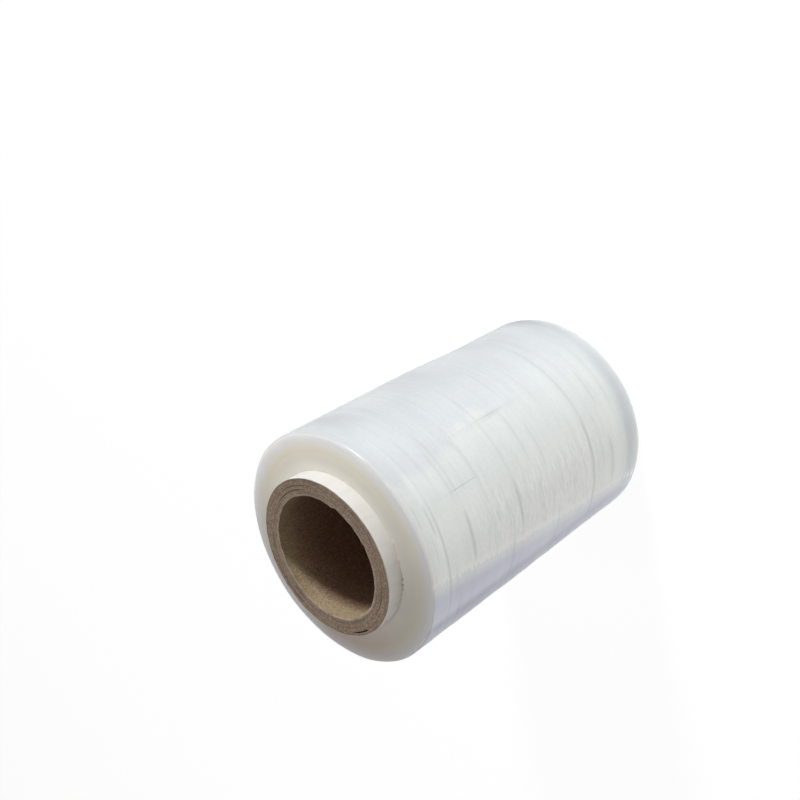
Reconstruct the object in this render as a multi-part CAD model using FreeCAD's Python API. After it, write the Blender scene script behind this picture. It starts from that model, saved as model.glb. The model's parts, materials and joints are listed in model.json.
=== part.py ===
import FreeCAD, Part

import math
import os

# A small roll of clear stretch wrap, wound on a kraft board core that has a white paper outer ply.
# The roll stands on its flush end at z = 0, its axis is +Z, and the core stands proud at the top.
# Lengths are in millimetres.

# Core
core_bore_diameter = 38.0  # takes a hand grip or the spindle of a dispenser
board_ply_thickness = 1.1
board_ply_count = 4
ply_line_width = 0.3  # open joint between two board plies, seen at both ends
ply_line_depth = 0.25
glue_line = 0.05  # between the board and its paper wrap
wrap_thickness = 0.3
core_proud = 5.2  # height of the core above the film

# Film
film_width = 100.0
film_diameter = 70.0
winding_gap = 0.05  # between the paper wrap and the first turn
film_rim_round = 0.6
rim_facets = 2
turn_ring_pitch = 5.6  # rings on the film's ends, where the winding tension changed
turn_ring_width = 0.8
turn_ring_depth = 0.3

# Bands round the film's side, where looser and tighter turns stand low and high
band_margin = 5.4  # from the rounded rim at the top to the first low band
low_band_width = 11.5
high_band_width = 10.7
low_band_depth = 0.25
band_slope = 0.8

# Sizes that follow
core_bore_radius = core_bore_diameter / 2
board_radius = core_bore_radius + board_ply_thickness * board_ply_count
wrap_bore_radius = board_radius + glue_line
wrap_radius = wrap_bore_radius + wrap_thickness
film_bore_radius = wrap_radius + winding_gap
film_radius = film_diameter / 2
core_length = film_width + core_proud


def section_point(radius, height):
    """Point of a half-section, at a distance from the axis and a height above the base."""
    return FreeCAD.Vector(radius, 0, height)


def places(first, pitch, last):
    """Distances from first to at most last, one pitch apart."""
    count = math.floor((last - first) / pitch) + 1
    return [first + pitch * number for number in range(count)]


def groove(width, depth):
    """Section of a V groove: each point's place along the face and its depth."""
    return [(-width / 2, 0), (0, depth), (width / 2, 0)]


def low_band(width, slope, depth):
    """Section of a low band with sloping edges: each point's place along the face and its depth."""
    floor = width / 2 - slope
    return [(-width / 2, 0), (-floor, depth), (floor, depth), (width / 2, 0)]


def cut_face(start, end, distances, cut):
    """Outline from start up to end, with a cut into its left at each distance from start."""
    along = (end - start).normalize()
    inward = FreeCAD.Vector(-along.z, 0, along.x)
    points = [start]
    for distance in distances:
        points += [start + along * (distance + place) + inward * depth for place, depth in cut]
    return points


def eased_corner(start, end, corner, facets):
    """Outline from start up to end, round the inside of a square corner in straight facets."""
    centre = start + end - corner
    angles = [math.pi / 2 * facet / facets for facet in range(facets)]
    return [centre + (start - centre) * math.cos(turn) + (end - centre) * math.sin(turn) for turn in angles]


def turned(outline):
    """Solid made by turning a closed half-section once round the axis."""
    section = Part.Face(Part.makePolygon(outline + outline[:1]))
    return section.revolve(FreeCAD.Vector(0, 0, 0), FreeCAD.Vector(0, 0, 1), 360)


def core_tube():
    """Board tube, with the joints between its plies as thin rings on both ends."""
    base_inner = section_point(core_bore_radius, 0)
    base_outer = section_point(board_radius, 0)
    top_outer = section_point(board_radius, core_length)
    top_inner = section_point(core_bore_radius, core_length)

    joints = [board_ply_thickness * ply for ply in range(1, board_ply_count)]
    ply_line = groove(ply_line_width, ply_line_depth)
    return turned(
        cut_face(base_inner, base_outer, joints, ply_line)
        + [base_outer]
        + cut_face(top_outer, top_inner, joints, ply_line)
        + [top_inner]
    )


def core_wrap():
    """White paper ply round the board, as long as the board."""
    return turned(
        [
            section_point(wrap_bore_radius, 0),
            section_point(wrap_radius, 0),
            section_point(wrap_radius, core_length),
            section_point(wrap_bore_radius, core_length),
        ]
    )


def film_roll():
    """All turns of film as one solid, with bands round its side and rings on both ends."""
    flat_radius = film_radius - film_rim_round
    face_width = flat_radius - film_bore_radius
    side_height = film_width - 2 * film_rim_round

    base_inner = section_point(film_bore_radius, 0)
    base_outer = section_point(flat_radius, 0)
    base_corner = section_point(film_radius, 0)
    side_base = section_point(film_radius, film_rim_round)
    side_top = section_point(film_radius, film_width - film_rim_round)
    top_corner = section_point(film_radius, film_width)
    top_outer = section_point(flat_radius, film_width)
    top_inner = section_point(film_bore_radius, film_width)

    ring = groove(turn_ring_width, turn_ring_depth)
    from_inner = places(turn_ring_pitch, turn_ring_pitch, face_width - turn_ring_width)
    from_outer = [face_width - distance for distance in reversed(from_inner)]

    band = low_band(low_band_width, band_slope, low_band_depth)
    first_band = band_margin + low_band_width / 2
    from_top = places(first_band, low_band_width + high_band_width, side_height - first_band)
    from_base = [side_height - distance for distance in reversed(from_top)]
    return turned(
        cut_face(base_inner, base_outer, from_inner, ring)
        + eased_corner(base_outer, side_base, base_corner, rim_facets)
        + cut_face(side_base, side_top, from_base, band)
        + eased_corner(side_top, top_outer, top_corner, rim_facets)
        + cut_face(top_outer, top_inner, from_outer, ring)
        + [top_inner]
    )


os.makedirs("parts", exist_ok=True)
for make_piece in (core_tube, core_wrap, film_roll):
    make_piece().exportStep(os.path.join("parts", make_piece.__name__ + ".step"))
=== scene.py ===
"""A small roll of clear stretch wrap on a board core, dressed and lit for its picture.

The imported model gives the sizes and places. The roll stands on its flush end with its axis along +Z,
and its core stands proud of the film at the top. Lengths are in metres unless a name or note says
millimetres, and bearings are in degrees.
"""

import json
import logging
import random
from dataclasses import dataclass, field
from enum import Enum
from math import cos, pi, radians, sin
from typing import Callable, Sequence

import bmesh
import bpy
import numpy as np
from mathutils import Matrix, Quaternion, Vector


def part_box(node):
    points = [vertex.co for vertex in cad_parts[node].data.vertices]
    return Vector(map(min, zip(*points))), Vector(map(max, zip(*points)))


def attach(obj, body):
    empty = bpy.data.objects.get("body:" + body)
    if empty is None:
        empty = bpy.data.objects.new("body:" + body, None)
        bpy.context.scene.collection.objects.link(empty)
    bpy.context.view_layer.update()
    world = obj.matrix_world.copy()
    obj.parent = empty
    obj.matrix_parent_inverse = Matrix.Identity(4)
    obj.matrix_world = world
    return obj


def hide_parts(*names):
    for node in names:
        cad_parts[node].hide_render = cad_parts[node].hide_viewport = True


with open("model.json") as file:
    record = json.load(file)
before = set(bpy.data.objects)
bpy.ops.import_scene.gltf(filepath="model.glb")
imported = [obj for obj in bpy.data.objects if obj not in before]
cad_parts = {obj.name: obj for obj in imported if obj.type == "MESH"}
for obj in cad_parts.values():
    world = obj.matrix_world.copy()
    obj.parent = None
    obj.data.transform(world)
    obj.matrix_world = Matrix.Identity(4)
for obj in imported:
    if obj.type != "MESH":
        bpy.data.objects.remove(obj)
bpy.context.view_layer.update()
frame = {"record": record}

LOG = logging.getLogger("stretch_wrap_roll")
MM = 0.001
TURN = 360.0

# The side of the roll that is uppermost in the picture, as an angle about the axis from +X towards +Y.
# A bearing is counted from there and grows towards the side that faces the camera.
TOP_ANGLE = -45.86

Colour = tuple[float, float, float]
Moved = tuple[np.ndarray, np.ndarray]
Form = Callable[[np.ndarray, np.ndarray, np.ndarray], Moved]


class Slot(Enum):
    """Material slots of the record."""

    FILM = "film"
    BOARD = "core_board"
    PAPER = "white_paper"


class Axis(Enum):
    """Direction that a plain edge of a half-section faces."""

    OUT = 0
    UP = 2


# Modelling


def smooth(low: float, high: float, value: np.ndarray) -> np.ndarray:
    """Eases from 0 at low to 1 at high.

    Args:
        low: value at which the result is 0.
        high: value at which the result is 1; it may be the smaller one.
        value: where to work the step out.

    Returns:
        The eased step, from 0 to 1.
    """
    share = np.clip((value - low) / (high - low), 0.0, 1.0)
    return share * share * (3.0 - 2.0 * share)


def peak(away: np.ndarray, width: float) -> np.ndarray:
    """A smooth peak of 1 where away is 0, that has sunk to a third at a width away."""
    return np.exp(-((away / width) ** 2))


def turn_between(bearing: np.ndarray, middle: float) -> np.ndarray:
    """Signed turn from a middle bearing to each bearing, from -180 to 180 degrees."""
    return (bearing - middle + TURN / 2) % TURN - TURN / 2


def ripple(bearing: np.ndarray, waves: Sequence[int], seed: int) -> np.ndarray:
    """An uneven wave round the roll that closes on itself.

    Args:
        bearing: bearings in degrees.
        waves: how many whole waves each of its parts has in a turn.
        seed: picks the parts' phases and sizes.

    Returns:
        The wave, mostly between -1 and 1.
    """
    draw = random.Random(seed)
    total = np.zeros_like(bearing)
    for count in waves:
        size = draw.uniform(0.5, 1.0)
        total += size * np.sin(count * np.radians(bearing) + draw.uniform(0.0, 2.0 * pi))
    return total / len(waves) ** 0.5


def uneven(place: np.ndarray, spacing: float, seed: int) -> np.ndarray:
    """A smooth random line along a place, between -1 and 1, with a new level at each spacing.

    Args:
        place: where to work the line out.
        spacing: distance between levels.
        seed: picks the levels.

    Returns:
        The line's level at each place.
    """
    draw = np.random.default_rng(seed)
    last = int(np.ceil(place.max() / spacing)) + 2
    levels = draw.uniform(-1.0, 1.0, last + 1)
    steps = np.clip(place / spacing, 0.0, last - 1.0)
    before = steps.astype(int)
    share = smooth(0.0, 1.0, steps - before)
    return levels[before] * (1.0 - share) + levels[before + 1] * share


def edit(piece: bpy.types.Object) -> None:
    """Opens a piece alone in edit mode."""
    bpy.ops.object.select_all(action="DESELECT")
    piece.select_set(True)
    bpy.context.view_layer.objects.active = piece
    bpy.ops.object.mode_set(mode="EDIT")


def select_at(piece: bpy.types.Object, axis: Axis, place: float, corners: bool = False) -> None:
    """Selects what lies wholly at a place along an axis.

    Args:
        piece: the piece in edit mode.
        axis: the axis that the place is on.
        place: where along the axis.
        corners: selects vertices there, and not edges.
    """
    bpy.ops.mesh.select_mode(type="VERT" if corners else "EDGE")
    bpy.ops.mesh.select_all(action="DESELECT")
    mesh = bmesh.from_edit_mesh(piece.data)
    near = 0.01 * MM
    if corners:
        for vertex in mesh.verts:
            vertex.select_set(abs(vertex.co[axis.value] - place) < near)
    else:
        for edge in mesh.edges:
            edge.select_set(all(abs(vertex.co[axis.value] - place) < near for vertex in edge.verts))
    mesh.select_flush_mode()
    bmesh.update_edit_mesh(piece.data)


@dataclass(frozen=True)
class RingSection:
    """Half-section of a ring, a rectangle with its outer corners eased, and how finely it is divided.

    Rows give the shares that a face's edge is cut into, one after the other.
    """

    inner: float
    outer: float
    high: float
    corner: float
    steps: int
    side_rows: tuple[int, ...]
    end_rows: tuple[int, ...]
    bore_rows: tuple[int, ...]
    corner_rows: int = 3

    def outline(self, name: str) -> bpy.types.Object:
        """Draws the half-section from a plane, with its corners eased and its edges divided."""
        bpy.ops.object.select_all(action="DESELECT")
        middle = ((self.inner + self.outer) / 2, 0.0, self.high / 2)
        bpy.ops.mesh.primitive_plane_add(size=1.0, location=middle, rotation=(pi / 2, 0.0, 0.0))
        piece = bpy.context.object
        piece.name = name
        piece.scale = (self.outer - self.inner, self.high, 1.0)
        bpy.ops.object.transform_apply(location=True, rotation=True, scale=True)
        edit(piece)
        if self.corner:
            select_at(piece, Axis.OUT, self.outer, corners=True)
            bpy.ops.mesh.bevel(offset=self.corner, segments=self.corner_rows, affect="VERTICES")
        faces = (
            (Axis.OUT, self.outer, self.side_rows),
            (Axis.UP, self.high, self.end_rows),
            (Axis.UP, 0.0, self.end_rows),
            (Axis.OUT, self.inner, self.bore_rows),
        )
        for axis, place, rows in faces:
            for share in rows:
                select_at(piece, axis, place)
                bpy.ops.mesh.subdivide(number_cuts=share - 1)
        bpy.ops.mesh.select_all(action="SELECT")
        bpy.ops.mesh.delete(type="ONLY_FACE")
        bpy.ops.object.mode_set(mode="OBJECT")
        return piece

    def turned(self, name: str) -> bpy.types.Object:
        """Turns the outline once round the axis into a closed ring, with faces outwards."""
        piece = self.outline(name)
        turn = piece.modifiers.new("turn", "SCREW")
        turn.axis = "Z"
        turn.angle = 2.0 * pi
        turn.steps = self.steps
        turn.render_steps = self.steps
        turn.use_merge_vertices = True
        turn.merge_threshold = 0.001 * MM
        bpy.ops.object.modifier_apply(modifier=turn.name)
        edit(piece)
        bpy.ops.mesh.select_all(action="SELECT")
        bpy.ops.mesh.remove_doubles(threshold=0.001 * MM)
        bpy.ops.mesh.normals_make_consistent(inside=False)
        bpy.ops.object.mode_set(mode="OBJECT")
        return piece


def polar(piece: bpy.types.Object) -> tuple[np.ndarray, np.ndarray, np.ndarray]:
    """Radius, bearing and height of each vertex of a piece."""
    place = np.empty(len(piece.data.vertices) * 3)
    piece.data.vertices.foreach_get("co", place)
    x, y, height = place.reshape(-1, 3).T
    return np.hypot(x, y), turn_between(TOP_ANGLE - np.degrees(np.arctan2(y, x)), 0.0), height


def reshape(piece: bpy.types.Object, form: Form) -> None:
    """Moves each vertex of a ring outwards and upwards, as sculpting would.

    Args:
        piece: a ring round the Z axis.
        form: gives the new radius and height for a radius, a bearing and a height.
    """
    radius, bearing, height = polar(piece)
    new_radius, new_height = form(radius, bearing, height)
    turn = np.radians(TOP_ANGLE - bearing)
    place = np.column_stack((new_radius * np.cos(turn), new_radius * np.sin(turn), new_height))
    piece.data.vertices.foreach_set("co", place.ravel())
    piece.data.update()


def paint(piece: bpy.types.Object, name: str, amount: np.ndarray) -> None:
    """Keeps an amount at each vertex, which the piece's finish reads by name."""
    layer = piece.data.attributes.new(name, "FLOAT", "POINT")
    layer.data.foreach_set("value", amount.astype(np.float32))


def dress(piece: bpy.types.Object, finish: bpy.types.Material, slot: Slot, node: str) -> None:
    """Gives a piece its finish, hangs it on the root body and hides the frame's part that it replaces.

    Args:
        piece: the finished mesh.
        finish: its material.
        slot: the record's material slot.
        node: the frame's node that it replaces.
    """
    bpy.ops.object.select_all(action="DESELECT")
    piece.select_set(True)
    bpy.context.view_layer.objects.active = piece
    bpy.ops.object.shade_smooth_by_angle(angle=radians(50.0))
    piece.data.materials.append(finish)
    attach(piece, "root")
    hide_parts(node)
    LOG.info("%s: %d faces, %s", piece.name, len(piece.data.polygons), slot.value)


# Finishes


class Signal:
    """A value on its way between shader nodes; an expression on it adds the nodes that work it out."""

    def __init__(self, sheet: "NodeSheet", socket: bpy.types.NodeSocket) -> None:
        """Keeps the node sheet and the socket that the value comes from."""
        self.sheet = sheet
        self.socket = socket

    def __add__(self, other: "Value") -> "Signal":
        """The sum."""
        return self.sheet.maths("ADD", self, other)

    def __sub__(self, other: "Value") -> "Signal":
        """The difference."""
        return self.sheet.maths("SUBTRACT", self, other)

    def __rsub__(self, other: float) -> "Signal":
        """The difference from a number."""
        return self.sheet.maths("SUBTRACT", other, self)

    def __mul__(self, other: "Value") -> "Signal":
        """The product."""
        return self.sheet.maths("MULTIPLY", self, other)

    __radd__ = __add__
    __rmul__ = __mul__


Value = Signal | float | Colour


class NodeSheet:
    """The nodes of one material or of the world."""

    def __init__(self, owner: bpy.types.Material | bpy.types.World) -> None:
        """Clears the owner's nodes."""
        owner.use_nodes = True
        self.tree = owner.node_tree
        self.tree.nodes.clear()

    def node(self, kind: str, settings: dict[str, str], inputs: dict[str | int, Value]) -> bpy.types.Node:
        """Adds a node.

        Args:
            kind: the node's type, after ShaderNode.
            settings: the node's own settings, which come before its sockets.
            inputs: a value or a signal for each socket, by the socket's name or number.

        Returns:
            The node.
        """
        made = self.tree.nodes.new("ShaderNode" + kind)
        for name, setting in settings.items():
            setattr(made, name, setting)
        for key, value in inputs.items():
            socket = made.inputs[key]
            if isinstance(value, Signal):
                self.tree.links.new(value.socket, socket)
            elif socket.type == "RGBA":
                socket.default_value = (*value, 1.0)
            else:
                socket.default_value = value
        return made

    def signal(self, made: bpy.types.Node, output: str | int = 0) -> Signal:
        """One output of a node."""
        return Signal(self, made.outputs[output])

    def maths(self, operation: str, *values: Value) -> Signal:
        """A Math node's result."""
        return self.signal(self.node("Math", {"operation": operation}, dict(enumerate(values))))

    def mix(self, share: Value, first: Value, second: Value, blend: str = "MIX") -> Signal:
        """A mix of two colours."""
        settings = {"data_type": "RGBA", "blend_type": blend}
        return self.signal(self.node("Mix", settings, {0: share, 6: first, 7: second}), 2)

    def step(self, value: Value, low: float, high: float) -> Signal:
        """A value eased from 0 at low to 1 at high."""
        settings = {"interpolation_type": "SMOOTHSTEP"}
        inputs = {"Value": value, "From Min": low, "From Max": high}
        return self.signal(self.node("MapRange", settings, inputs))

    def noise(self, where: Signal, stretch: Colour, detail: float = 2.0, roughness: float = 0.5) -> Signal:
        """Noise between 0 and 1.

        Args:
            where: place in metres.
            stretch: how many waves fit in a metre along each axis.
            detail: how many finer layers it has.
            roughness: how strong each finer layer is beside the last.

        Returns:
            The noise.
        """
        scaled = self.signal(self.node("VectorMath", {"operation": "MULTIPLY"}, {0: where, 1: stretch}))
        inputs = {"Vector": scaled, "Scale": 1.0, "Detail": detail, "Roughness": roughness}
        return self.signal(self.node("TexNoise", {}, inputs))

    def painted(self, name: str) -> Signal:
        """An amount kept at the piece's vertices."""
        settings = {"attribute_type": "GEOMETRY", "attribute_name": name}
        return self.signal(self.node("Attribute", settings, {}), "Fac")

    def place(self) -> Signal:
        """Place on the piece, in its own axes."""
        return self.signal(self.node("TexCoord", {}, {}), "Object")

    def round_place(self) -> tuple[Signal, Signal]:
        """Place with its height replaced by height plus radius, and the radius.

        Noise on that place, stretched along its first two axes, runs round the roll on its side and its ends.
        """
        parts = self.node("SeparateXYZ", {}, {0: self.place()})
        x, y, z = (self.signal(parts, number) for number in range(3))
        radius = self.maths("SQRT", x * x + y * y)
        return self.signal(self.node("CombineXYZ", {}, {0: x, 1: y, 2: z + radius})), radius

    def bump(self, height: Value, distance: float) -> Signal:
        """A normal tilted by a height."""
        return self.signal(self.node("Bump", {}, {"Height": height, "Distance": distance}))

    def surface(self, shader: bpy.types.Node, output: str = "OutputMaterial") -> None:
        """Sends a shader to the output."""
        self.node(output, {}, {0: self.signal(shader)})


@dataclass(frozen=True)
class FilmFinish:
    """Many turns of clear film: milky in depth, glossy on top, with fine streaks along the turns."""

    clinging: Colour = (0.865, 0.92, 0.87)
    # Partly the real loose last turn, partly a painted bluish reflection tint.
    loose: Colour = (0.67, 0.71, 0.745)
    # Painted shade colour, mixed in by the clear amount.
    clear: Colour = (0.23, 0.265, 0.31)
    # Painted shade and reflection colours for the band on the side turned away from the light.
    band_shade: Colour = (0.58, 0.61, 0.72)
    deep_band_shade: Colour = (0.36, 0.38, 0.49)
    # Painted highlight colour for glints.
    glint: Colour = (0.98, 0.98, 0.95)
    # Painted shade colour for the creases and the torn end's lines.
    crease: Colour = (0.41, 0.45, 0.43)
    end_core: Colour = (0.95, 0.91, 0.80)
    end_middle: Colour = (0.87, 0.835, 0.715)
    end_rim: Colour = (0.80, 0.81, 0.81)
    # Painted shade tint, pinkish and darker, for the end on the side turned away from the light.
    end_shade_tint: Colour = (0.86, 0.80, 0.83)
    # Painted shade colour for the dark gaps by the core.
    end_gap_shade: Colour = (0.30, 0.19, 0.13)
    scatter: Colour = (1.0, 1.0, 0.9)
    scatter_depth: float = 11 * MM
    end_lean: float = 0.45
    crease_share: float = 0.42
    torn_share: float = 0.5
    plain_share: float = 0.9
    side_coat: float = 0.45
    outer: float = 35 * MM
    middle_zone: tuple[float, float] = (10 * MM, 4 * MM)
    rim_zone: tuple[float, float] = (5 * MM, 1.5 * MM)
    plain_zone: tuple[float, float] = (6.5 * MM, 10.5 * MM)

    def within(self, sheet: NodeSheet, radius: Signal, zone: tuple[float, float]) -> Signal:
        """Eases from 0 to 1 between two distances in from the film's outer edge."""
        return sheet.step(radius, self.outer - zone[0], self.outer - zone[1])

    def material(self) -> bpy.types.Material:
        """Builds the film's material."""
        made = bpy.data.materials.new("wound_film")
        sheet = NodeSheet(made)
        place, radius = sheet.round_place()
        streaks = sheet.noise(place, (14.0, 14.0, 650.0), 3.0, 0.6)
        fine = sheet.noise(place, (30.0, 30.0, 2400.0), 2.0, 0.55)
        dashes = sheet.noise(place, (260.0, 260.0, 1900.0), 2.0, 0.6)
        clouds = sheet.noise(place, (45.0, 45.0, 60.0), 3.0, 0.55)
        jags = sheet.noise(place, (70.0, 70.0, 1100.0), 3.0, 0.65)
        crinkled = sheet.painted("crinkle")
        creased = sheet.painted("crease")
        below = sheet.painted("under")
        under = below + (jags - 0.5) * 0.9
        grain = sheet.noise(sheet.place(), (1100.0, 1100.0, 1100.0), 1.0)

        on_side = sheet.painted("side")
        # Loose colour: partly the real loose last turn, partly a painted bluish reflection; the clear colour
        # is painted shade.
        loose_and_shaded = sheet.mix(sheet.painted("clear"), self.loose, self.clear)
        side = sheet.mix(sheet.painted("loose"), self.clinging, loose_and_shaded)
        shade = sheet.step(clouds, 0.3, 0.7) * 0.04 + sheet.step(streaks, 0.25, 0.75) * 0.04
        shade = shade + sheet.step(fine, 0.4, 0.7) * 0.03
        shade = shade + crinkled * (sheet.step(dashes, 0.4, 0.62) - 0.45) * 0.12
        shade = shade + sheet.step(grain, 0.3, 0.7) * 0.03
        side = sheet.mix(1.0, side, 1.07 - shade, "MULTIPLY")
        # Painted glints: short bright flecks along the jagged edge of the painted shade band.
        lip = sheet.step(under, -0.5, -0.05) * sheet.step(under, 0.25, 0.02)
        side = sheet.mix(lip * sheet.step(dashes, 0.47, 0.58), side, self.glint)
        # Painted shade and reflection: the bluish-grey band, darkest in its middle.
        band_shade_share = sheet.step(under, -0.08, 0.12) * 0.35 + sheet.step(below, 0.1, 1.0) * 0.65
        side = sheet.mix(band_shade_share, side, self.band_shade)
        deepest_band_shade = sheet.step(below, 1.05, 1.75)
        side = sheet.mix(deepest_band_shade, side, self.deep_band_shade)
        torn = sheet.painted("torn")
        torn_line = sheet.step(torn, -0.07, -0.01) * sheet.step(torn, 0.07, 0.01)
        torn_line = torn_line * sheet.painted("torn_shade")
        # Painted shade in the creases and along the torn end of the last turn.
        lines = creased * self.crease_share + torn_line * self.torn_share
        side = sheet.mix(lines, side, self.crease)

        ringed = 1.03 - sheet.step(streaks, 0.2, 0.8) * 0.05
        end = sheet.mix(self.within(sheet, radius, self.middle_zone), self.end_core, self.end_middle)
        end = sheet.mix(self.within(sheet, radius, self.rim_zone), end, self.end_rim)
        end = sheet.mix(1.0, end, ringed, "MULTIPLY")
        # Painted shade: the end turns pinkish and darker on the side away from the light.
        end = sheet.mix(sheet.painted("low"), end, sheet.mix(1.0, end, self.end_shade_tint, "MULTIPLY"))
        end = sheet.mix(creased * 0.5, end, self.crease)
        # Painted highlights on the raised lips of film by the core.
        end = sheet.mix(sheet.painted("bead_glint"), end, self.glint)
        # Painted shade in the gaps where the end has drawn away from the core.
        end = sheet.mix(sheet.painted("gap_shade"), end, self.end_gap_shade)
        colour = sheet.mix(on_side, end, side)

        height = streaks * 0.016 + fine * 0.01 + crinkled * dashes * 0.055
        height = height + (1.0 - on_side) * (self.outer - radius) * (self.end_lean / MM)
        inputs = {
            "Base Color": colour,
            "Roughness": 0.6 + streaks * 0.16 - on_side * 0.3,
            "Normal": sheet.bump(height, MM),
            "Coat Weight": 0.1 + on_side * (self.side_coat - deepest_band_shade * 0.35),
            "Coat Roughness": 0.14,
        }
        scattered = {
            "Subsurface Weight": 1.0,
            "Subsurface Radius": self.scatter,
            "Subsurface Scale": self.scatter_depth,
        }
        deep = sheet.node("BsdfPrincipled", {}, inputs | scattered)
        plain = sheet.node("BsdfPrincipled", {}, inputs)
        by_core = (1.0 - on_side) * self.within(sheet, radius, self.plain_zone) * self.plain_share
        shaders = {0: by_core, 1: sheet.signal(deep), 2: sheet.signal(plain)}
        sheet.surface(sheet.node("MixShader", {}, shaders))
        return made


@dataclass(frozen=True)
class BoardFinish:
    """Kraft board: a sandy fibrous face inside the bore, and darker cut plies at the ends."""

    face: Colour = (0.48, 0.375, 0.22)
    cut: Colour = (0.43, 0.315, 0.23)
    fibre: Colour = (0.17, 0.12, 0.085)
    frayed: Colour = (0.68, 0.60, 0.49)
    # Painted shade: the bore's face is darker and redder deeper in.
    deep: Colour = (0.40, 0.235, 0.15)
    # Painted shade colour inside the slits between plies.
    split: Colour = (0.04, 0.027, 0.02)

    def material(self) -> bpy.types.Material:
        """Builds the board's material."""
        made = bpy.data.materials.new("kraft_board")
        sheet = NodeSheet(made)
        place, _ = sheet.round_place()
        plain = sheet.place()
        flecks = sheet.noise(plain, (2400.0, 2400.0, 2400.0), 2.0, 0.6)
        fibres = sheet.noise(plain, (420.0, 420.0, 1300.0), 3.0, 0.65)
        mottle = sheet.noise(plain, (160.0, 160.0, 160.0), 3.0, 0.6)
        plies = sheet.noise(place, (70.0, 70.0, 2600.0), 3.0, 0.65)
        cut_end = sheet.painted("cut")

        cut = sheet.mix(sheet.step(plies, 0.4, 0.72) * 0.55, self.cut, self.fibre)
        cut = sheet.mix(sheet.step(plies, 0.5, 0.3) * 0.12, cut, self.frayed)
        # Painted shade deeper in the bore.
        face = sheet.mix(sheet.painted("deep"), self.face, self.deep)
        face = sheet.mix(sheet.step(fibres, 0.45, 0.72) * 0.2, face, self.fibre)
        colour = sheet.mix(cut_end, face, cut)
        colour = sheet.mix(sheet.step(flecks, 0.52, 0.64) * 0.45, colour, self.frayed)
        colour = sheet.mix(sheet.step(flecks, 0.48, 0.36) * 0.5, colour, self.fibre)
        colour = sheet.mix(sheet.step(mottle, 0.42, 0.75) * 0.18, colour, self.fibre)
        colour = sheet.mix(sheet.painted("frayed"), colour, self.frayed)
        # Painted shade inside the slits.
        colour = sheet.mix(sheet.painted("split"), colour, self.split)
        inputs = {
            "Base Color": colour,
            "Roughness": 0.78 + flecks * 0.15,
            "Normal": sheet.bump(flecks * 0.6 + fibres * 0.4 + plies * cut_end * 0.8, 0.22 * MM),
            "Specular IOR Level": 0.25,
        }
        sheet.surface(sheet.node("BsdfPrincipled", {}, inputs))
        return made


@dataclass(frozen=True)
class PaperFinish:
    """White paper with faint streaks down its grain, and the board's brown at its cut edges."""

    white: Colour = (0.81, 0.805, 0.775)
    shade: Colour = (0.68, 0.65, 0.61)
    edge: Colour = (0.30, 0.23, 0.18)

    def material(self) -> bpy.types.Material:
        """Builds the paper's material."""
        made = bpy.data.materials.new("white_paper")
        sheet = NodeSheet(made)
        plain = sheet.place()
        grain = sheet.noise(plain, (600.0, 600.0, 110.0), 3.0, 0.6)
        flecks = sheet.noise(plain, (1500.0, 1500.0, 1500.0), 2.0, 0.6)
        clouds = sheet.noise(plain, (130.0, 130.0, 130.0), 2.0, 0.5)
        colour = sheet.mix(sheet.step(grain, 0.45, 0.8) * 0.35, self.white, self.shade)
        colour = sheet.mix(sheet.step(clouds, 0.45, 0.8) * 0.15, colour, self.shade)
        colour = sheet.mix(sheet.painted("worn"), colour, self.edge)
        inputs = {
            "Base Color": colour,
            "Roughness": 0.6 + flecks * 0.2,
            "Normal": sheet.bump(grain * 0.6 + flecks * 0.4, 0.07 * MM),
            "Subsurface Weight": 0.15,
            "Subsurface Radius": (1.0, 0.9, 0.8),
            "Subsurface Scale": 0.5 * MM,
        }
        sheet.surface(sheet.node("BsdfPrincipled", {}, inputs))
        return made


# Pieces of the roll


@dataclass(frozen=True)
class Crease:
    """A line between two turns of film, over part of the way round.

    The place and width are in millimetres, the place from the film's edge at the proud end.
    """

    place: float
    middle: float
    reach: float
    shade: float
    width: float = 0.4

    def profile(self, place: np.ndarray, bearing: np.ndarray, row: float) -> np.ndarray:
        """How strongly the crease shows, from 0 to 1.

        Args:
            place: places along the roll in millimetres.
            bearing: bearings there.
            row: spacing of the mesh's rows, one of which the crease lies on.

        Returns:
            The strength at each place.
        """
        line = round(self.place / row) * row
        ends = smooth(self.reach, self.reach * 0.4, np.abs(turn_between(bearing, self.middle)))
        return self.shade * ends * peak(place - line, self.width)


@dataclass(frozen=True)
class TailStep:
    """A stretch of the film's torn end, along the roll at one bearing; places are in millimetres."""

    start: float
    end: float
    bearing: float


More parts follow.
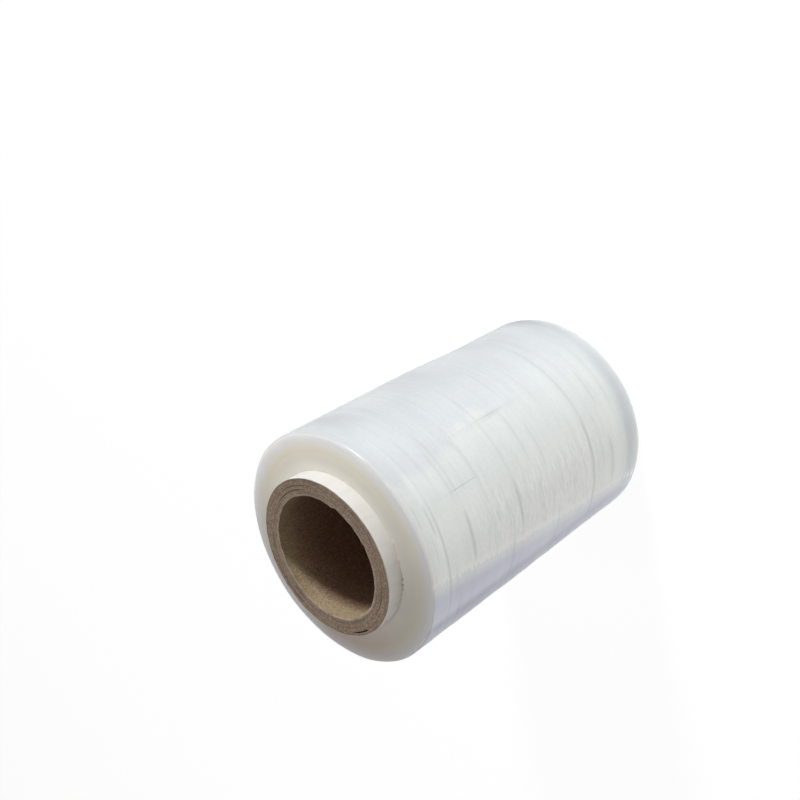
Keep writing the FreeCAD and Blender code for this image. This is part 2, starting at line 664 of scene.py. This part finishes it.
@dataclass
class WoundFilm:
    """The wound film: its side with bands, creases and the torn end of the last turn, and its two ends.

    Band edges and creases are in millimetres from the film's edge at the proud end.
    """

    outer: float
    inner: float
    width: float
    finish: FilmFinish = field(default_factory=FilmFinish)
    corner: float = 0.5 * MM
    rim: float = 4.0 * MM
    steps: int = 360
    side_rows: tuple[int, ...] = (13, 4, 4)
    taper: float = 0.38 * MM
    low_bands: tuple[tuple[float, float], ...] = ((6.0, 17.5), (28.2, 39.7), (50.4, 61.9), (72.6, 84.1))
    band_depth: float = 0.1 * MM
    band_slope: float = 2.2
    relief: float = 0.03 * MM
    wander: float = 0.4 * MM
    crease_depth: float = 0.1 * MM
    last_layer: float = 0.12 * MM
    ring_place: float = 29.4 * MM
    ring_depth: float = 0.04 * MM
    frill: float = 0.35 * MM
    creases: tuple[Crease, ...] = (
        Crease(2.4, -22, 12, 0.45, 0.4),
        Crease(4.3, -34, 14, 0.5, 0.4),
        Crease(5.8, -14, 12, 0.4, 0.4),
        Crease(7.6, -28, 16, 0.35, 0.4),
        Crease(9.5, 2, 12, 0.3, 0.4),
        Crease(12.8, -10, 14, 0.25, 0.4),
        Crease(1.4, 50, 9, 0.8, 0.4),
        Crease(3.4, 66, 10, 0.5, 0.4),
        Crease(4.6, 55, 9, 1.0, 0.4),
        Crease(6.0, 76, 42, 1.0, 0.4),
        Crease(6.0, 22, 34, 0.4, 0.4),
        Crease(9.0, 88, 12, 0.4, 0.4),
        Crease(11.0, 30, 18, 0.3, 0.4),
        Crease(15.0, 40, 16, 0.45, 0.4),
        Crease(17.0, 71, 15, 1.0, 0.6),
        Crease(17.0, 34, 22, 0.5, 0.4),
        Crease(20.5, 44, 12, 0.3, 0.4),
        Crease(26.2, 42, 26, 0.35, 0.5),
        Crease(26.2, 76, 16, 0.3, 0.5),
        Crease(29.0, 60, 20, 0.25, 0.4),
        Crease(33.0, 70, 16, 0.3, 0.5),
        Crease(38.0, 73, 16, 0.9, 0.6),
        Crease(38.0, 30, 36, 0.4, 0.4),
        Crease(43.0, 58, 16, 0.25, 0.4),
        Crease(47.2, 42, 20, 0.45, 0.5),
        Crease(47.5, 76, 14, 0.4, 0.6),
        Crease(52.0, 12, 11, 0.3, 0.5),
        Crease(52.5, 52, 16, 0.35, 0.5),
        Crease(57.5, 70, 16, 0.3, 0.5),
        Crease(62.0, 14, 12, 0.3, 0.5),
        Crease(62.4, 30, 12, 0.35, 0.5),
        Crease(63.5, 82, 14, 0.4, 0.6),
        Crease(68.0, 58, 14, 0.25, 0.5),
        Crease(74.0, 78, 38, 1.0, 0.6),
        Crease(74.0, 24, 40, 0.55, 0.5),
        Crease(77.5, 2, 11, 0.3, 0.5),
        Crease(79.0, 66, 18, 0.35, 0.5),
        Crease(84.0, 82, 18, 0.85, 0.7),
        Crease(84.0, 42, 14, 0.45, 0.6),
        Crease(90.0, 36, 28, 0.3, 0.6),
        Crease(93.0, 80, 18, 0.35, 0.8),
    )
    tail: tuple[TailStep, ...] = (TailStep(0.0, 26.2, 49.14), TailStep(26.2, 100.0, 28.14))
    back_lines: tuple[float, ...] = (5.5, 11.0, 17.0, 26.5, 33.0, 38.0, 47.0, 56.0, 62.0, 74.0, 84.0, 91.0)

    def __post_init__(self) -> None:
        """Spaces the rows of the mesh and adds the creases of the side turned away."""
        count = 1
        for share in self.side_rows:
            count *= share
        self.row = (self.width - 2 * self.corner) / MM / count
        draw = random.Random(11)
        for line in self.back_lines:
            for _ in range(draw.randint(2, 4)):
                middle = draw.uniform(112.0, 330.0)
                reach = draw.uniform(12.0, 45.0)
                place = line + draw.uniform(-0.8, 0.8)
                shade = draw.uniform(0.25, 0.95)
                width = draw.uniform(0.4, 0.7)
                self.creases += (Crease(place, middle, reach, shade, width),)

    def crease_shade(self, place: np.ndarray, bearing: np.ndarray) -> np.ndarray:
        """How dark the strongest crease is at each place.

        Args:
            place: places along the roll in millimetres.
            bearing: bearings there.

        Returns:
            The strength at each place, from 0 to 1.
        """
        shade = np.zeros_like(place)
        for crease in self.creases:
            shade = np.maximum(shade, crease.profile(place - self.corner / MM, bearing, self.row))
        return shade

    def tail_bearing(self, place: np.ndarray) -> np.ndarray:
        """Bearing of the film's torn end at each place along the roll.

        Args:
            place: places along the roll in millimetres.

        Returns:
            The bearing at each place.
        """
        bearing = np.full_like(place, self.tail[-1].bearing)
        for step in self.tail:
            bearing[(place >= step.start) & (place < step.end)] = step.bearing
        return bearing

    def low(self, place: np.ndarray) -> np.ndarray:
        """1 in the low bands, easing to 0 outside them.

        Args:
            place: places along the roll in millimetres.

        Returns:
            The strength at each place, from 0 to 1.
        """
        total = np.zeros_like(place)
        for start, end in self.low_bands:
            total += smooth(start, start + self.band_slope, place) * smooth(end, end - self.band_slope, place)
        return total

    def form(self, radius: np.ndarray, bearing: np.ndarray, height: np.ndarray) -> Moved:
        """The film's real form from a plain ring.

        Args:
            radius: each vertex's distance from the axis.
            bearing: its bearing.
            height: its height.

        Returns:
            The new radius and height.
        """
        place = (self.width - height) / MM
        narrow = self.taper * smooth(50.0, 76.0, place) * (1.0 + 0.6 * np.cos(np.radians(bearing + 60.0)))
        lift = -narrow - self.band_depth * self.low(place) * (0.8 + 0.3 * ripple(bearing, (1, 2, 3), 5))
        lift += self.relief * uneven(place, 2.9, 3) * (0.6 + 0.4 * ripple(bearing, (1, 2), 6))
        back = (self.tail_bearing(place) - bearing) % TURN
        lift += self.last_layer * (1.0 - back / TURN) * smooth(2.0, 6.0, place) * smooth(76.0, 56.0, place)
        lift -= self.crease_depth * self.crease_shade(place, bearing)
        lift += 0.1 * MM * ripple(bearing, (3, 7, 13), 7) * (peak(place, 1.5) + peak(place - 100.0, 1.5))
        wide = radius + lift * smooth(self.outer - self.rim, self.outer, radius)

        on_side = smooth(0.4, 4.0, place) * smooth(99.6, 96.0, place)
        drift = np.zeros_like(place)
        for number in (1, 2, 3):
            waves = (number, number + 1, number + 3)
            drift += uneven(place, 11.0, 30 + number) * ripple(bearing, waves, 40 + number)
        sunk = self.ring_depth * peak(radius - self.ring_place, 0.4 * MM)
        sunk += 0.02 * MM * (1.0 + uneven((radius - self.inner) / MM, 0.6, 9))
        sunk += 0.08 * MM * ripple(bearing, (5, 9, 16), 8) * smooth(self.outer - 2.0 * MM, self.outer, radius)
        sunk -= self.frill * self.frills(radius, bearing) - 0.3 * MM * self.gaps(radius, bearing)
        at_top = height > self.width - self.corner
        at_base = height < self.corner
        inwards = np.where(at_base, np.clip(sunk, 0.0, None), 0.0) - np.where(at_top, sunk, 0.0)
        at_face = np.abs(height - self.width / 2) > self.width / 2 - 0.01 * MM
        return wide, height + self.wander * drift * on_side + inwards * at_face

    def frills(self, radius: np.ndarray, bearing: np.ndarray) -> np.ndarray:
        """Short raised lips of film where an end meets the core."""
        beads = np.clip(ripple(bearing, (23, 37, 61, 89), 12) - 0.35, 0.0, 1.0)
        return beads * peak(radius - self.inner, 0.5 * MM)

    def gaps(self, radius: np.ndarray, bearing: np.ndarray) -> np.ndarray:
        """Short dark gaps where an end has drawn away from the core.

        Args:
            radius: distances from the axis.
            bearing: bearings there.

        Returns:
            The strength at each place, from 0 to 1.
        """
        seen = peak(turn_between(bearing, 88.0), 6.0) * smooth(-0.2, 0.3, ripple(bearing, (90, 131), 22))
        others = np.clip(ripple(bearing, (3, 7, 12, 19), 21) - 0.7, 0.0, 1.0)
        return np.maximum(seen, others) * peak(radius - self.inner, 0.45 * MM)

    def tail_ramp(self, place: np.ndarray, bearing: np.ndarray) -> np.ndarray:
        """Signed turn from the torn end, as a share of four degrees; the finish draws a thin line at 0."""
        return np.clip(turn_between(bearing, 0.0) - self.tail_bearing(place), -4.0, 4.0) / 4.0

    def tail_shade(self, place: np.ndarray) -> np.ndarray:
        """How dark the torn end's line shows at each place along the roll.

        Args:
            place: places along the roll in millimetres.

        Returns:
            The strength at each place, from 0 to 1.
        """
        step = self.tail[0].end
        upper = smooth(9.0, 12.0, place) * (0.2 + 0.8 * smooth(15.0, 18.0, place))
        lower = (0.3 + 0.7 * peak(place - 45.0, 3.5)) * smooth(62.0, 48.0, place)
        return np.where(place < step, upper, lower)

    def tail_step_shade(self, place: np.ndarray, bearing: np.ndarray) -> np.ndarray:
        """How dark the line shows that runs round the roll from one stretch of the torn end to the next.

        Args:
            place: places along the roll in millimetres.
            bearing: bearings there.

        Returns:
            The strength at each place, from 0 to 1.
        """
        first = turn_between(bearing, self.tail[0].bearing)
        second = turn_between(bearing, self.tail[1].bearing)
        step = self.tail[0].end
        across = 0.4 * peak(place - step, 0.45) * (first < 0.5) * smooth(-1.0, 3.0, second)
        soft = (0.15 + 0.35 * peak(place - 45.0, 4.0)) * smooth(62.0, 48.0, place)
        return across + soft * (place >= step) * peak(second - 0.6, 1.4)

    def loose_and_reflection(self, place: np.ndarray, bearing: np.ndarray) -> np.ndarray:
        """Where the last turn lies loose at its torn end, with air under it, and where a painted bluish
        reflection tint covers the side towards its lit top and the far rim.

        Args:
            place: places along the roll in millimetres.
            bearing: bearings there.

        Returns:
            The strength at each place, from 0 to 1.
        """
        edge = np.where(place < self.tail[0].end, 37.5, 28.5)
        sharp = smooth(5.0, -8.0, bearing - edge + 3.0 * uneven(place, 3.0, 17))
        soft = smooth(66.0, 8.0, bearing)
        far = smooth(30.0, 62.0, place)
        patches = 0.82 + 0.18 * uneven(place, 9.0, 14) * ripple(bearing, (4, 7), 15)
        seen = np.maximum((sharp * (1.0 - far) + soft * far) * patches, 0.45 * smooth(72.0, 46.0, bearing))
        return np.maximum(seen * smooth(-175.0, -70.0, bearing), 0.9 * smooth(87.0, 96.5, place))

    def painted_side_shade(self, place: np.ndarray, bearing: np.ndarray) -> np.ndarray:
        """Painted shade: darker from a bearing of 24 degrees down to -44, over part of the far side and near
        the far rim.

        Args:
            place: places along the roll in millimetres.
            bearing: bearings there.

        Returns:
            The share of the painted shade colour.
        """
        seen = smooth(24.0, -44.0, bearing) * (1.0 - 0.5 * smooth(-60.0, -100.0, bearing))
        hidden = 0.5 * smooth(112.0, 150.0, bearing)
        return np.maximum(seen, hidden) + 0.28 * smooth(88.0, 98.0, place)

    def crinkled(self, place: np.ndarray, bearing: np.ndarray) -> np.ndarray:
        """Where the outer turns are finely crinkled.

        Args:
            place: places along the roll in millimetres.
            bearing: bearings there.

        Returns:
            The strength at each place, from 0 to 1.
        """
        seen = smooth(52.0, 68.0, bearing) * smooth(108.0, 96.0, bearing)
        seen = seen * smooth(14.0, 30.0, place) * smooth(90.0, 70.0, place)
        hidden = smooth(0.1, 0.9, ripple(bearing, (2, 3, 5), 31)) * (np.abs(bearing) > 112.0)
        return np.maximum(seen, 0.7 * hidden * smooth(8.0, 20.0, place) * smooth(92.0, 80.0, place))

    def under(self, place: np.ndarray, bearing: np.ndarray) -> np.ndarray:
        """Where the side gets a painted band of shade and reflection, bluish-grey, turned away from the
        light.

        Args:
            place: places along the roll in millimetres.
            bearing: bearings there.

        Returns:
            Below 0 outside, 0 at its jagged edge, and up to 1.8 inside.
        """
        edge = 84.0 + 17.0 * (place - 10.0) / 88.0
        inside = np.clip(np.minimum(bearing - edge, 150.0 - bearing) / 9.0, -1.0, 1.0)
        dark = smooth(100.0, 110.0, bearing) * smooth(140.0, 118.0, bearing)
        return inside + (0.8 - 0.4 * place / 100.0) * dark

    def build(self) -> None:
        """Models the film and dresses it."""
        section = RingSection(
            inner=self.inner, outer=self.outer, high=self.width, corner=self.corner, steps=self.steps,
            side_rows=self.side_rows, end_rows=(22,), bore_rows=(2,),
        )
        piece = section.turned("film_turns")
        radius, bearing, height = polar(piece)
        place = (self.width - height) / MM
        side = smooth(self.outer - self.corner, self.outer - 0.1 * self.corner, radius)
        shade = np.maximum(self.crease_shade(place, bearing), self.tail_step_shade(place, bearing))
        # Painted shade: the side just below the proud rim is darker over part of the way round.
        rim_shade = 0.4 * smooth(5.5, 3.5, place)
        rim_shade = rim_shade * smooth(-5.0, 30.0, bearing) * smooth(76.0, 64.0, bearing)
        paint(piece, "side", side)
        # Painted shade in the creases, along the torn end's step and just below the proud rim.
        paint(piece, "crease", side * np.maximum(shade, rim_shade))
        # Painted shade on the end, on the side turned away from the light.
        paint(piece, "low", smooth(112.0, 165.0, bearing) + smooth(-145.0, -175.0, bearing))
        # Painted highlights on the raised lips of film where the end meets the core.
        paint(piece, "bead_glint", np.clip(2.0 * self.frills(radius, bearing), 0.0, 1.0))
        # Painted shade in the gaps where the end has drawn away from the core.
        paint(piece, "gap_shade", np.clip(1.2 * self.gaps(radius, bearing), 0.0, 0.9))
        paint(piece, "torn", self.tail_ramp(place, bearing))
        paint(piece, "torn_shade", self.tail_shade(place))
        # Partly the real loose last turn, partly a painted bluish reflection by bearing and near the far rim.
        paint(piece, "loose", self.loose_and_reflection(place, bearing))
        # Painted shade by bearing and near the far rim.
        paint(piece, "clear", self.painted_side_shade(place, bearing))
        paint(piece, "crinkle", side * self.crinkled(place, bearing))
        # Painted shade band: where the side takes the painted shade and reflection colours.
        paint(piece, "under", self.under(place, bearing))
        reshape(piece, self.form)
        dress(piece, self.finish.material(), Slot.FILM, "film_roll")


@dataclass(frozen=True)
class Split:
    """A dark slit in the cut end of the board, where two plies part over a short arc, in millimetres."""

    radius: float
    bearing: float
    reach: float
    depth: float
    width: float

    def profile(self, radius: np.ndarray, bearing: np.ndarray) -> np.ndarray:
        """How strongly the slit shows, from 0 to 1."""
        away = np.abs(turn_between(bearing, self.bearing))
        return peak(radius - self.radius * MM, self.width * MM) * smooth(self.reach, self.reach * 0.4, away)


@dataclass
class BoardCore:
    """The board tube, with cut plies on its ends and a frayed lip round its bore."""

    inner: float
    outer: float
    length: float
    finish: BoardFinish = field(default_factory=BoardFinish)
    steps: int = 320
    ply: float = 1.1 * MM
    ply_line_depth: float = 0.12 * MM
    lip: float = 0.38 * MM
    notch: float = 0.4 * MM
    notch_bearing: float = 14.0
    splits: tuple[Split, ...] = (
        Split(20.5, -40.0, 26.0, 0.22, 0.11),
        Split(21.7, -29.0, 24.0, 0.2, 0.1),
        Split(20.2, 20.0, 24.0, 0.16, 0.1),
        Split(22.3, 40.0, 30.0, 0.14, 0.1),
        Split(21.2, -110.0, 22.0, 0.24, 0.1),
        Split(22.8, 143.0, 9.0, 1.0, 0.16),
        Split(22.6, -140.0, 22.0, 0.4, 0.11),
        Split(20.6, -150.0, 9.0, 0.4, 0.11),
        Split(21.3, 95.0, 30.0, 0.2, 0.1),
    )

    def cut_marks(self, radius: np.ndarray, bearing: np.ndarray) -> np.ndarray:
        """Depth of the lines between plies and of the splits, at each point of a cut end.

        Args:
            radius: distances from the axis.
            bearing: bearings there.

        Returns:
            The depth in metres.
        """
        depth = np.zeros_like(radius)
        for number in (1, 2, 3):
            line = self.inner + number * self.ply + 0.12 * MM * ripple(bearing, (1, 2, 4), 40 + number)
            shown = 0.35 + 0.5 * np.clip(ripple(bearing, (2, 3, 7), 50 + number), -0.6, 1.0)
            depth += self.ply_line_depth * shown * peak(radius - line, 0.12 * MM)
        for split in self.splits:
            depth = np.maximum(depth, split.depth * MM * split.profile(radius, bearing))
        return depth

    def form(self, radius: np.ndarray, bearing: np.ndarray, height: np.ndarray) -> Moved:
        """The board's worn form from a plain ring; arguments and result are as in WoundFilm.form."""
        top = height > self.length - 0.01 * MM
        base = height < 0.01 * MM
        sunk = self.cut_marks(radius, bearing) + 0.03 * MM * (1.0 + ripple(bearing, (13, 29, 47), 60))
        sunk += 0.1 * MM * peak(radius - self.inner, 0.3 * MM) * (1.0 + ripple(bearing, (11, 19, 37), 61))
        from_end = np.minimum(height, self.length - height)
        ragged = 0.35 * ripple(bearing, (3, 5, 9), 62) + 0.2 * ripple(bearing, (17, 31, 53), 64)
        hang = self.lip * (1.0 + ragged)
        hang -= self.notch * peak(turn_between(bearing, self.notch_bearing), 3.0) * (height > self.length / 2)
        mouth = np.exp(-from_end / (0.9 * MM)) * smooth(self.inner + 2 * self.ply, self.inner, radius)
        return radius - hang * mouth, height + np.where(base, sunk, 0.0) - np.where(top, sunk, 0.0)

    def build(self) -> None:
        """Models the board tube and dresses it."""
        section = RingSection(
            inner=self.inner, outer=self.outer, high=self.length, corner=0.0, steps=self.steps,
            side_rows=(4,), end_rows=(38,), bore_rows=(15, 14),
        )
        piece = section.turned("board_tube")
        radius, bearing, height = polar(piece)
        at_end = np.abs(height - self.length / 2) > self.length / 2 - 0.01 * MM
        marks = self.cut_marks(radius, bearing) / self.ply_line_depth
        torn = np.clip(0.8 + 0.4 * ripple(bearing, (9, 23, 41), 63), 0.0, 1.0)
        paint(piece, "cut", at_end.astype(float))
        from_top = self.length - height
        on_wall = (radius < self.outer) * peak(from_top, 0.35 * MM)
        at_mouth = np.where(at_end, peak(radius - self.inner, 0.38 * MM), on_wall)
        paint(piece, "frayed", torn * at_mouth)
        # Painted shade deeper in the bore, from 2.5 to 9 mm below the top.
        paint(piece, "deep", smooth(2.5 * MM, 9.0 * MM, from_top))
        # Painted shade inside the slits and the lines between plies.
        paint(piece, "split", at_end * np.clip(marks * 0.5 - 0.12, 0.0, 1.0))
        reshape(piece, self.form)
        dress(piece, self.finish.material(), Slot.BOARD, "core_tube")


@dataclass
class PaperWrap:
    """The white paper ply round the board, ragged at its cut edges."""

    inner: float
    outer: float
    length: float
    proud: float
    finish: PaperFinish = field(default_factory=PaperFinish)
    steps: int = 320
    ragged: float = 0.05 * MM

    def form(self, radius: np.ndarray, bearing: np.ndarray, height: np.ndarray) -> Moved:
        """The paper's form from a plain ring; arguments and result are as in WoundFilm.form."""
        top = height > self.length - 0.01 * MM
        sunk = self.ragged * (1.0 + ripple(bearing, (8, 17, 35, 52), 70))
        standing = smooth(self.length - self.proud - 1.0 * MM, self.length, height)
        slack = 0.03 * MM * standing * ripple(bearing, (5, 11, 18), 71)
        return radius + slack, height - np.where(top, sunk, 0.0)

    def build(self) -> None:
        """Models the paper ply and dresses it."""
        section = RingSection(
            inner=self.inner, outer=self.outer, high=self.length, corner=0.0, steps=self.steps,
            side_rows=(18, 14), end_rows=(2,), bore_rows=(10,),
        )
        piece = section.turned("paper_ply")
        radius, bearing, height = polar(piece)
        from_end = np.minimum(height, self.length - height)
        torn = np.clip(0.45 + 0.6 * ripple(bearing, (6, 13, 29, 44), 72), 0.0, 1.0)
        paint(piece, "worn", np.where(from_end < 0.01 * MM, 1.0, 0.5 * torn * peak(from_end, 0.3 * MM)))
        reshape(piece, self.form)
        dress(piece, self.finish.material(), Slot.PAPER, "core_wrap")


# Studio


@dataclass(frozen=True)
class Lamp:
    """A square soft box that looks at the roll.

    Its level is how bright it alone makes a white card that faces it.
    """

    name: str
    bearing: float
    elevation: float
    distance: float
    size: float
    level: float
    colour: Colour = (1.0, 1.0, 1.0)

    def build(self, aim: Vector) -> None:
        """Hangs the lamp."""
        data = bpy.data.lights.new(self.name, "AREA")
        data.shape = "SQUARE"
        data.size = self.size
        data.color = self.colour
        data.energy = self.level * pi * pi * self.distance**2
        lamp = bpy.data.objects.new(self.name, data)
        bpy.context.scene.collection.objects.link(lamp)
        turn = radians(TOP_ANGLE - self.bearing)
        rise = radians(self.elevation)
        direction = Vector((cos(turn) * cos(rise), sin(turn) * cos(rise), sin(rise)))
        lamp.location = aim + direction * self.distance
        lamp.rotation_euler = direction.to_track_quat("Z", "Y").to_euler()


@dataclass(frozen=True)
class Studio:
    """White floor, soft light, and the camera of the picture."""

    aim: tuple[float, float, float] = (0.0283, -0.0032, 0.0544)
    camera_place: tuple[float, float, float] = (0.0, -0.2558, 0.27285)
    camera_roll: float = 118.05
    focal_pixels: float = 1105.11
    picture_pixels: float = 800.0
    sensor: float = 36.0
    floor_size: float = 8.0
    floor_glow: float = 1.28
    low_sky: float = 0.55
    high_sky: float = 0.05
    sky_colour: Colour = (1.0, 0.90, 0.88)
    sky_band: tuple[float, float] = (0.3, 0.55)
    dim_way: tuple[float, float] = (-0.81, 0.59)
    dim_band: tuple[float, float] = (0.1, 0.9)
    dim_share: float = 0.5
    floor_colour: Colour = (0.85, 0.85, 0.86)
    glow_share: float = 0.58
    seen_share: float = 0.12
    floor_in_bore: tuple[float, float] = (20 * MM, 24 * MM)
    lamps: tuple[Lamp, ...] = (
        Lamp("key", -15.0, 12.0, 1.8, 0.24, 0.59),
        Lamp("side", 62.0, 5.0, 1.6, 0.6, 0.04),
        Lamp("overhead", 0.0, 90.0, 1.2, 0.6, 0.21),
    )

    def shown(self, sheet: NodeSheet) -> Signal:
        """1 for what the camera sees itself, in a gloss or through something clear."""
        rays = sheet.node("LightPath", {}, {})
        kinds = ("Is Camera Ray", "Is Glossy Ray", "Is Transmission Ray")
        camera, gloss, through = (sheet.signal(rays, kind) for kind in kinds)
        return sheet.maths("MAXIMUM", sheet.maths("MAXIMUM", camera, gloss), through)

    def world(self) -> None:
        """Lights the roll from low down all round, and shows white to the camera and in reflections."""
        world = bpy.data.worlds.new("studio")
        bpy.context.scene.world = world
        sheet = NodeSheet(world)
        parts = sheet.node("SeparateXYZ", {}, {0: sheet.signal(sheet.node("TexCoord", {}, {}), "Generated")})
        x, y, rise = (sheet.signal(parts, number) for number in range(3))
        level = self.low_sky - sheet.step(rise, *self.sky_band) * (self.low_sky - self.high_sky)
        behind = y * self.dim_way[1] + x * self.dim_way[0]
        level = level * (1.0 - sheet.step(behind, *self.dim_band) * self.dim_share)
        light = sheet.node("Background", {}, {"Color": self.sky_colour, "Strength": level})
        white = sheet.node("Background", {}, {"Color": (1.0, 1.0, 1.0), "Strength": 1.0})
        shaders = {0: self.shown(sheet), 1: sheet.signal(light), 2: sheet.signal(white)}
        sheet.surface(sheet.node("MixShader", {}, shaders), "OutputWorld")

    def floor(self) -> None:
        """Lays a white floor that keeps the roll's shadow."""
        bpy.ops.object.select_all(action="DESELECT")
        bpy.ops.mesh.primitive_plane_add(size=self.floor_size, location=(0.0, 0.0, 0.0))
        floor = bpy.context.object
        floor.name = "floor"
        made = bpy.data.materials.new("white_floor")
        sheet = NodeSheet(made)
        matt = sheet.node("BsdfDiffuse", {}, {"Color": self.floor_colour})
        glow = sheet.node("Emission", {}, {"Color": (1.0, 1.0, 1.0), "Strength": self.floor_glow})
        _, radius = sheet.round_place()
        share = self.shown(sheet) * self.seen_share + self.glow_share
        share = share * sheet.step(radius, *self.floor_in_bore)
        shaders = {0: share, 1: sheet.signal(matt), 2: sheet.signal(glow)}
        sheet.surface(sheet.node("MixShader", {}, shaders))
        floor.data.materials.append(made)

    def camera(self) -> None:
        """Sets the camera at the picture's place, rolled as the picture is."""
        data = bpy.data.cameras.new("camera")
        data.sensor_width = self.sensor
        data.lens = self.sensor * self.focal_pixels / self.picture_pixels
        data.clip_start = 10 * MM
        camera = bpy.data.objects.new("camera", data)
        bpy.context.scene.collection.objects.link(camera)
        camera.location = self.camera_place
        look = Vector(self.aim) - camera.location
        camera.rotation_mode = "QUATERNION"
        roll = Quaternion((0.0, 0.0, 1.0), -radians(self.camera_roll))
        camera.rotation_quaternion = look.to_track_quat("-Z", "Y") @ roll
        bpy.context.scene.camera = camera

    def build(self) -> None:
        """Sets up the studio."""
        self.floor()
        self.world()
        for lamp in self.lamps:
            lamp.build(Vector(self.aim))
        self.camera()
        bpy.context.scene.view_settings.view_transform = "Standard"
        LOG.info("studio: floor, camera, %d lamps", len(self.lamps))


def main() -> None:
    """Builds every piece of the roll, then the studio."""
    logging.basicConfig(level=logging.INFO)
    film_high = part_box("film_roll")[1]
    wrap_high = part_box("core_wrap")[1]
    board_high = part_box("core_tube")[1]
    bore = next(mount for mount in frame["record"]["mounts"] if mount["name"] == "core_bore")
    clearance = 0.05 * MM

    WoundFilm(outer=film_high.x, inner=wrap_high.x - 0.5 * clearance, width=film_high.z).build()
    BoardCore(inner=bore["dims"]["r_mm"] * MM, outer=board_high.x, length=board_high.z).build()
    PaperWrap(
        inner=board_high.x + clearance,
        outer=wrap_high.x,
        length=wrap_high.z,
        proud=wrap_high.z - film_high.z,
    ).build()
    Studio().build()


if __name__ == "__main__":
    main()
